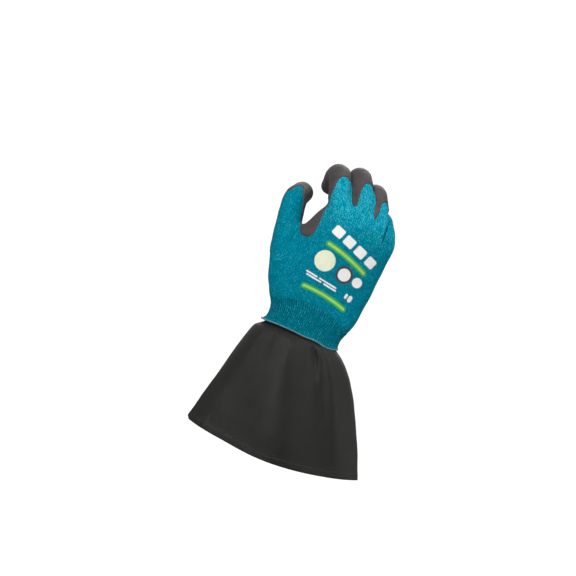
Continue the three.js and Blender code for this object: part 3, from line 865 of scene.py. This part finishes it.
def cloth_outside(share, angle):
    """The cloth's outside as it has been worn, and each place's length up from the hem."""
    places = gauntlet_places(share, angle)
    normals = cloth_normals(share, angle)
    x, y, z = places[..., 0], places[..., 1], places[..., 2]
    # slack waves that run down it, a short wrinkle near the corner and a turned hem
    waves = 0.16 * np.sin(x * 0.14 + z * 0.05 + 0.8) * np.sin(z * 0.07 - x * 0.03)
    waves += 0.08 * np.sin(x * 0.31 - z * 0.12)
    waves *= smoothstep(0.03, 0.2, share)
    wrinkle = (y < 0) * line_dent(x, z, (-58, -120), (-54.6, -108), -0.8, 1.3)
    from_hem = z - hem_at(np.cos(angle))
    turned = 0.3 * (1 - smoothstep(7.2, 8.4, from_hem))
    stitch_dent = -0.34 * bump(from_hem, HEM_STITCH_LINE, 0.6)
    lift = waves + wrinkle + turned + stitch_dent
    return places + normals * lift[..., None], normals, from_hem


CLOTH_COLUMNS = 400
CLOTH_ROWS = 120


def build_gauntlet(material):
    shares = np.linspace(GAUNTLET_ROWS[0][0], 1, CLOTH_ROWS)
    share, angle = np.meshgrid(shares, full_turn(CLOTH_COLUMNS, 0.5), indexing="ij")
    outside, normals, from_hem = cloth_outside(share, angle)
    faces = grid_faces(CLOTH_ROWS, CLOTH_COLUMNS)[:, ::-1]
    around = np.cumsum(np.linalg.norm(outside - np.roll(outside, 1, 1), axis=2), axis=1)
    coordinates = np.stack([around, -outside[..., 2], from_hem], axis=-1).reshape(-1, 3)
    new_shell("gauntlet_cloth", outside, outside - normals * GAUNTLET_WALL, faces, material,
              "gauntlet", coordinates)


def stitch_row(share, angle, outwards, lengths):
    """Paths of single stitches along a line on the gauntlet, each as long as it is set."""
    places, normals, _ = cloth_outside(share, angle)
    at = np.concatenate([[0], np.cumsum(np.linalg.norm(np.diff(places, axis=0), axis=1))])
    stitch, gap = lengths
    paths = []
    for start in np.arange(0, at[-1] - stitch, stitch + gap):
        steps = np.linspace(0, 1, 6)
        where = start + steps * stitch
        line = np.stack([np.interp(where, at, column) for column in places.T], axis=1)
        up = np.stack([np.interp(where, at, column) for column in normals.T], axis=1)
        paths.append(line + up * (outwards - 0.34 + 0.4 * np.sin(steps * math.pi) ** 0.5)[:, None])
    return paths


def build_hem_stitches(material):
    angle = full_turn(CLOTH_COLUMNS * 2, 0.5)
    hem = hem_at(np.cos(angle))
    paths = stitch_row((hem + HEM_STITCH_LINE) / hem, angle, 0.1, (2.3, 0.7))
    threads("hem_stitches", paths, 0.2, 5, material)


def build_side_seam(material, stitch_material):
    """The folded seam on the palm's side of the gauntlet, with its two rows of stitches."""
    first, last = math.acos(-0.79), math.acos(-0.9)
    rows, columns = 90, 13
    shares = np.linspace(0.06, 0.985, rows)
    angles = np.linspace(first, last, columns)
    share, angle = np.meshgrid(shares, angles, indexing="ij")
    cloth, normals, _ = cloth_outside(share, angle)
    width = np.linspace(-1, 1, columns)
    crown = 0.2 + 0.85 * (1 - np.abs(width) ** 5) - 0.2 * bump(np.abs(width), 0.6, 0.12)
    r, c = np.meshgrid(np.arange(rows - 1), np.arange(columns - 1), indexing="ij")
    faces = np.stack([r * columns + c, (r + 1) * columns + c, (r + 1) * columns + c + 1,
                      r * columns + c + 1], axis=-1).reshape(-1, 4)
    new_shell("gauntlet_side_seam", cloth + normals * crown[None, :, None], cloth - normals * 0.3, faces,
              material, "gauntlet_seam")
    paths = []
    for side in (-0.6, 0.6):
        line = np.full(200, (first + last) / 2 + side * (last - first) / 2)
        paths += stitch_row(np.linspace(0.08, 0.97, 200), line, 0.98, (2.4, 0.7))
    threads("seam_stitches", paths, 0.2, 5, stitch_material)


# Materials

def srgb(r, g, b):
    """A colour given as 0 to 255 values of a picture, for a shader."""
    linear = []
    for channel in (r, g, b):
        c = channel / 255
        linear.append(c / 12.92 if c <= 0.04045 else ((c + 0.055) / 1.055) ** 2.4)
    return (*linear, 1)


class Value:
    """A node's output, of which sums and products can be made."""

    def __init__(self, nodes, socket):
        self.nodes = nodes
        self.socket = socket

    def __add__(self, other):
        return self.nodes.math("ADD", self, other)

    def __sub__(self, other):
        return self.nodes.math("SUBTRACT", self, other)

    def __rsub__(self, other):
        return self.nodes.math("SUBTRACT", other, self)

    def __mul__(self, other):
        return self.nodes.math("MULTIPLY", self, other)

    def __truediv__(self, other):
        return self.nodes.math("DIVIDE", self, other)

    def __pow__(self, other):
        return self.nodes.math("POWER", self, other)

    def __abs__(self):
        return self.nodes.math("ABSOLUTE", self)


class Nodes:
    """Small helper to write a material's nodes as expressions."""

    def __init__(self, name):
        self.material = bpy.data.materials.new(name)
        self.material.use_nodes = True
        self.tree = self.material.node_tree
        self.shader = self.tree.nodes["Principled BSDF"]

    def link(self, source, socket):
        if isinstance(source, Value):
            self.tree.links.new(source.socket, socket)
        else:
            socket.default_value = source

    def new(self, kind, *sources, **named):
        """A new node, with values or other nodes' outputs at its inputs, in their order or by name."""
        node = self.tree.nodes.new("ShaderNode" + kind)
        for source, socket in zip(sources, node.inputs):
            self.link(source, socket)
        for name, source in named.items():
            self.link(source, node.inputs[name.replace("_", " ")])
        return node

    def output(self, node, which=0):
        return Value(self, node.outputs[which])

    def math(self, operation, a, b=0.0):
        node = self.new("Math", a, b)
        node.operation = operation
        return self.output(node)

    def knit(self):
        node = self.new("Attribute")
        node.attribute_name = "knit"
        return self.output(node, "Vector")

    def parts(self, vector):
        return [Value(self, output) for output in self.new("SeparateXYZ", vector).outputs]

    def combine(self, x, y):
        return self.output(self.new("CombineXYZ", x, y))

    def object_place(self):
        """The place on the glove in millimetres."""
        node = self.new("VectorMath", self.output(self.new("TexCoord"), "Object"))
        node.operation = "SCALE"
        self.link(1 / MM, node.inputs["Scale"])
        return self.output(node)

    def noise(self, vector, scale, detail=2.0, roughness=0.5):
        sockets = {"Vector": vector, "Scale": scale, "Detail": detail, "Roughness": roughness}
        return self.output(self.new("TexNoise", **sockets))

    def white(self, vector):
        return self.output(self.new("TexWhiteNoise", Vector=vector), "Value")

    def voronoi(self, vector, scale):
        return self.output(self.new("TexVoronoi", Vector=vector, Scale=scale), "Distance")

    def ramp(self, value, low, high):
        """0 at low and 1 at high, straight between."""
        return self.output(self.new("MapRange", Value=value, From_Min=low, From_Max=high))

    def mix(self, factor, a, b):
        node = self.new("Mix")
        # its inputs for colours can be named only once it mixes colours
        node.data_type = "RGBA"
        for name, source in (("Factor", factor), ("A", a), ("B", b)):
            self.link(source, node.inputs[name])
        return self.output(node, "Result")

    def bump(self, height, distance, strength, normal=None):
        node = self.new("Bump", Height=height, Distance=distance * MM, Strength=strength)
        if normal is not None:
            self.link(normal, node.inputs["Normal"])
        return self.output(node)

    def set(self, **sockets):
        for name, source in sockets.items():
            self.link(source, self.shader.inputs[name.replace("_", " ")])
        return self.material


WALE = 1.55
COURSE = 1.2


def stitches(n, u, v):
    """Height of stocking stitch: a V of two slanted legs in each wale."""
    away = abs(n.math("FRACT", u / WALE) - 0.5)
    legs = abs(n.math("SINE", (v / COURSE + away * 1.5) * math.pi))
    return legs**0.6 * (1.0 - (away * 2.0) ** 3.0)


def stitch_cells(n, u, v):
    """A random value for each leg of a stitch."""
    return n.white(n.combine(n.math("FLOOR", u / (WALE / 2)), n.math("FLOOR", v / COURSE)))


def knit_colour(n, u, v, dark, mid, light, paler):
    """A melange yarn in soft clouds, lighter or darker by stitch, with more pale strokes where paler is 1."""
    clouds = n.noise(n.combine(u, v), 0.16, 3.0)
    tone = stitch_cells(n, u, v) * 0.55 + n.ramp(clouds, 0.3, 0.7) * 0.45
    # the pale yarn shows as short strokes along the wales
    shift = n.white(n.combine(n.math("FLOOR", u / (WALE / 2)), 7.0)) * 9.0
    strokes = stitch_cells(n, u, v + shift)
    fleck = n.math("GREATER_THAN", strokes, 0.93 - (clouds * 0.16 + paler * 0.2))
    return n.mix(fleck * (paler * 0.26 + 0.18), n.mix(tone, dark, mid), light)


def yarn(n, colour, relief, fuzz, sheen, tint):
    """Matte yarn over a relief of loops, with a little fuzz."""
    normal = n.bump(n.noise(n.object_place(), fuzz, 3.0), 0.12, 0.5, relief)
    return n.set(Base_Color=colour, Roughness=0.92, Normal=normal, Specular_IOR_Level=0.02, IOR=1.1,
                 Sheen_Weight=sheen, Sheen_Roughness=0.5, Sheen_Tint=tint)


def knit_material():
    n = Nodes("teal knit")
    u, v, dent = n.parts(n.knit())
    x, _, z = n.parts(n.object_place())
    # painted highlight: the knit's base colours turn lighter towards the knuckles at the top of the hand,
    # less so on the thumb's side, where the light falls on them; its pale flecks also grow denser there
    light = n.ramp(z, 94, 144) * n.ramp(x, -50, -28)
    mid = n.mix(light, srgb(0, 127, 149), srgb(6, 150, 172))
    dark = n.mix(light, srgb(0, 104, 124), srgb(0, 120, 141))
    colour = knit_colour(n, u, v, dark, mid, srgb(86, 184, 200), light)
    loops = stitches(n, u, v)
    # painted shade: the knit turns darker in the hollows between its loops
    colour = n.mix(n.ramp(loops, 0.45, 0.0), colour, srgb(0, 84, 102))
    # folds keep the light out
    colour = n.mix(n.ramp(dent, -0.6, -2.0), colour, srgb(0, 60, 78))
    return yarn(n, printed_marks(n, colour), n.bump(loops, 0.28, 0.8), 2.4, 0.1, srgb(0, 170, 190))


def rib_material():
    n = Nodes("teal rib")
    u, v, ridge = n.parts(n.knit())
    colour = knit_colour(n, u, v, srgb(0, 86, 101), srgb(2, 114, 132), srgb(88, 166, 180), 0.06)
    # painted shade: the cuff turns darker in the grooves between its ribs
    colour = n.mix(n.ramp(ridge, 0.1, 0.75), srgb(0, 62, 76), colour)
    rows = abs(n.math("SINE", v * (math.pi / 1.4)))
    return yarn(n, colour, n.bump(rows, 0.2, 0.7), 2.2, 0.08, srgb(0, 150, 170))


def coat_material():
    n = Nodes("foam coating")
    place = n.object_place()
    u, v, _ = n.parts(n.knit())
    clouds = n.noise(place, 0.07, 4.0, 0.6)
    grain = n.noise(place, 1.6, 4.0, 0.6)
    colour = n.mix(n.ramp(clouds, 0.35, 0.68), srgb(53, 48, 49), srgb(68, 63, 63))
    colour = n.mix(n.ramp(grain, 0.6, 0.35) * 0.35, colour, srgb(46, 42, 42))
    knit = n.bump(stitches(n, u, v), 0.1, 0.35)
    normal = n.bump(grain, 0.22, 0.6, n.bump(clouds, 1.2, 0.5, knit))
    pored = n.bump(n.voronoi(place, 1.5), 0.12, 0.5, normal)
    return n.set(Base_Color=colour, Roughness=grain * 0.14 + 0.56, Normal=pored, Specular_IOR_Level=0.32)


def thread_material(name, dark, light):
    n = Nodes(name)
    place = n.object_place()
    colour = n.mix(n.ramp(n.noise(place, 1.1, 3.0), 0.35, 0.65), dark, light)
    return n.set(Base_Color=colour, Roughness=0.8, Normal=n.bump(n.noise(place, 4.0, 2.0), 0.08, 0.6),
                 Specular_IOR_Level=0.2, Sheen_Weight=0.2)


def cloth_material():
    n = Nodes("black cloth")
    u, v, _ = n.parts(n.knit())
    place = n.object_place()
    thread = 2 * math.pi / 0.55
    weave = n.math("SINE", v * thread) * n.math("SINE", u * thread)
    clouds = n.noise(place, 0.045, 4.0, 0.6)
    lint = n.noise(place, 0.9, 3.0, 0.6)
    colour = n.mix(n.ramp(clouds, 0.35, 0.65), srgb(13, 13, 7), srgb(16, 16, 10))
    colour = n.mix(n.ramp(lint, 0.62, 0.8) * 0.2, colour, srgb(74, 76, 73))
    normal = n.bump(weave, 0.05, 0.6, n.bump(lint, 0.12, 0.4, n.bump(clouds, 0.3, 0.3)))
    return n.set(Base_Color=colour, Roughness=0.4, Normal=normal, Specular_IOR_Level=0.25, Sheen_Weight=0.04)


WHITE, CREAM, DARK = (226, 224, 221), (217, 221, 194), (70, 62, 64)
GREEN, LIME = (58, 150, 84), (146, 196, 90)


def mark(x, z, length, width, lean, colour, **more):
    """A plain mark on the back of the hand: its middle, half length and width, and lean in degrees.

    more can hold round for its corners, bow for how far it bends up, and a core of another colour
    that is inset by so much.
    """
    return {"middle": (x, z), "half": (length, width), "lean": lean, "colour": colour, **more}


BLOCKS = [(-3.2, 108.4, 5.6), (10.4, 102.9, 5.6), (24.0, 97.4, 5.6), (37.2, 91.9, 5.0)]
BARS = [
    (-12.4, 60.4, 6.2, 0.75), (5.6, 57.4, 9.8, 0.75), (-9.2, 57.2, 8.6, 0.75), (8.8, 54.2, 7.2, 0.75),
    (27.2, 52.2, 1.3, 2.6), (31.8, 51.0, 2.0, 3.4),
]
MARKS = [
    *[mark(x, z, length, 4.9, -22, WHITE, round=1.8) for x, z, length in BLOCKS],
    mark(13.4, 86.6, 25.8, 3.3, -18.7, GREEN, bow=1.6, core=LIME, inset=1.9),
    mark(6.9, 42.6, 25.8, 3.1, -9.7, GREEN, bow=2.4, core=LIME, inset=1.8),
    mark(-5.3, 77.0, 10.4, 10.4, 0, CREAM),
    mark(17.6, 71.0, 8.8, 8.8, 0, DARK, core=WHITE, inset=2.4),
    mark(32.4, 68.5, 5.1, 5.1, 0, WHITE),
    *[mark(*bar, -9.5, WHITE) for bar in BARS],
]


def printed_marks(n, colour):
    """The knit's colour with the marks over it, on the back of the hand only."""
    place = n.object_place()
    x, y, z = n.parts(place)
    ragged = (n.noise(place, 1.3, 2.0) - 0.5) * 1.1
    worn = n.ramp(n.noise(place, 1.0, 3.0), 0.15, 0.36) * n.math("LESS_THAN", y, 0.0)
    for each in MARKS:
        (mx, mz), (length, width) = each["middle"], each["half"]
        cosine, sine = math.cos(math.radians(each["lean"])), math.sin(math.radians(each["lean"]))
        dx, dz = x - mx, z - mz
        along = dx * cosine + dz * sine
        over = dz * cosine - dx * sine
        if "bow" in each:
            share = along / length
            over = over - (1.0 - share * share) * each["bow"]
        corner = min(length, width, each.get("round", length))
        u = n.math("MAXIMUM", abs(along) - (length - corner), 0.0)
        v = n.math("MAXIMUM", abs(over) - (width - corner), 0.0)
        edge = n.math("SQRT", u * u + v * v) - corner + ragged
        layers = [(0.0, each["colour"])]
        if "core" in each:
            layers.append((each["inset"], each["core"]))
        for inset, shade in layers:
            colour = n.mix(n.ramp(edge + inset, 0.35, -0.35) * worn, colour, srgb(*shade))
    return colour


# Studio

def build_camera():
    data = bpy.data.cameras.new("camera")
    camera = bpy.data.objects.new("camera", data)
    bpy.context.scene.collection.objects.link(camera)
    data.sensor_width = 36
    data.lens = 36 * CAMERA_DISTANCE / FIELD
    data.clip_start, data.clip_end = 0.05, 30
    away = Vector((0, 1, 0))
    place = Vector(PICTURE_MIDDLE) - away * CAMERA_DISTANCE
    axes = Matrix((PICTURE_RIGHT, PICTURE_UP, -away)).transposed()
    camera.matrix_world = Matrix.Translation(place * MM) @ axes.to_4x4()
    bpy.context.scene.camera = camera


def area_light(name, place, target, size, power):
    data = bpy.data.lights.new(name, "AREA")
    data.shape = "DISK"
    data.size = size
    data.energy = power
    light = bpy.data.objects.new(name, data)
    light.location = place
    light.rotation_euler = (Vector(target) - Vector(place)).to_track_quat("-Z", "Y").to_euler()
    bpy.context.scene.collection.objects.link(light)


def build_studio():
    scene = bpy.context.scene
    world = bpy.data.worlds.new("studio")
    world.use_nodes = True
    light = world.node_tree
    direction = light.nodes.new("ShaderNodeTexCoord").outputs["Generated"]
    lean = light.nodes.new("ShaderNodeVectorMath")
    lean.operation = "DOT_PRODUCT"
    light.links.new(direction, lean.inputs[0])
    lean.inputs[1].default_value = (-0.1, -0.3, 0.95)
    strength = light.nodes.new("ShaderNodeMapRange")
    light.links.new(lean.outputs["Value"], strength.inputs["Value"])
    strength.inputs["From Min"].default_value = -1.0
    strength.inputs["To Min"].default_value = 0.3
    strength.inputs["To Max"].default_value = 0.74
    light.links.new(strength.outputs[0], light.nodes["Background"].inputs["Strength"])
    light.nodes["Background"].inputs["Color"].default_value = (1, 1, 1, 1)
    scene.world = world
    scene.view_settings.view_transform = "Standard"
    scene.view_settings.look = "None"

    # a round white floor whose rim sweeps up into a backdrop all round and closes overhead. It glows evenly,
    # and lets the studio's own light through to the glove.
    floor_z = -0.42
    profile = [
        (1.2, 0.0), (2.2, 0.0), (2.8, 0.08), (3.3, 0.4), (3.55, 1.0), (3.6, 2.2), (3.3, 3.4), (2.0, 4.3),
    ]
    sides = 64
    vertices = [
        (r * math.cos(t), r * math.sin(t), floor_z + h) for r, h in profile for t in full_turn(sides)
    ]
    faces = grid_faces(len(profile), sides).tolist()
    faces.append(list(range(sides - 1, -1, -1)))
    faces.append(list(range((len(profile) - 1) * sides, len(profile) * sides)))
    mesh = bpy.data.meshes.new("floor")
    mesh.from_pydata(vertices, [], faces)
    mesh.shade_smooth()
    n = Nodes("white floor")
    glow = n.set(Base_Color=(0.1, 0.1, 0.1, 1), Roughness=1.0, Emission_Color=(1.0, 1.0, 1.0, 1),
                 Emission_Strength=1.0, Specular_IOR_Level=0.0)
    mesh.materials.append(glow)
    floor = bpy.data.objects.new("floor", mesh)
    floor.visible_diffuse = False
    floor.visible_glossy = False
    floor.visible_shadow = False
    scene.collection.objects.link(floor)

    middle = (0.0, 0.0, 0.03)
    area_light("key", (-1.2, -1.5, 1.15), middle, 0.5, 13.5)
    area_light("sheen", (-0.9, -1.8, 0.4), (0, 0, -0.08), 0.35, 15)
    area_light("fill", (1.8, -1.0, 0.6), middle, 1.6, 12)
    area_light("top", (0.3, -0.5, 1.9), middle, 0.7, 14)
    area_light("rear", (0.0, 1.5, 1.3), middle, 1.2, 18)


build_camera()
build_studio()
CLOTH = cloth_material()
BLACK_THREAD = thread_material("black thread", srgb(26, 26, 24), srgb(44, 44, 42))
PALE_THREAD = thread_material("pale thread", srgb(52, 108, 122), srgb(106, 154, 165))
build_hand(knit_material(), coat_material())
build_cuff(rib_material())
build_overlock(PALE_THREAD)
build_gauntlet(CLOTH)
build_hem_stitches(BLACK_THREAD)
build_side_seam(CLOTH, BLACK_THREAD)
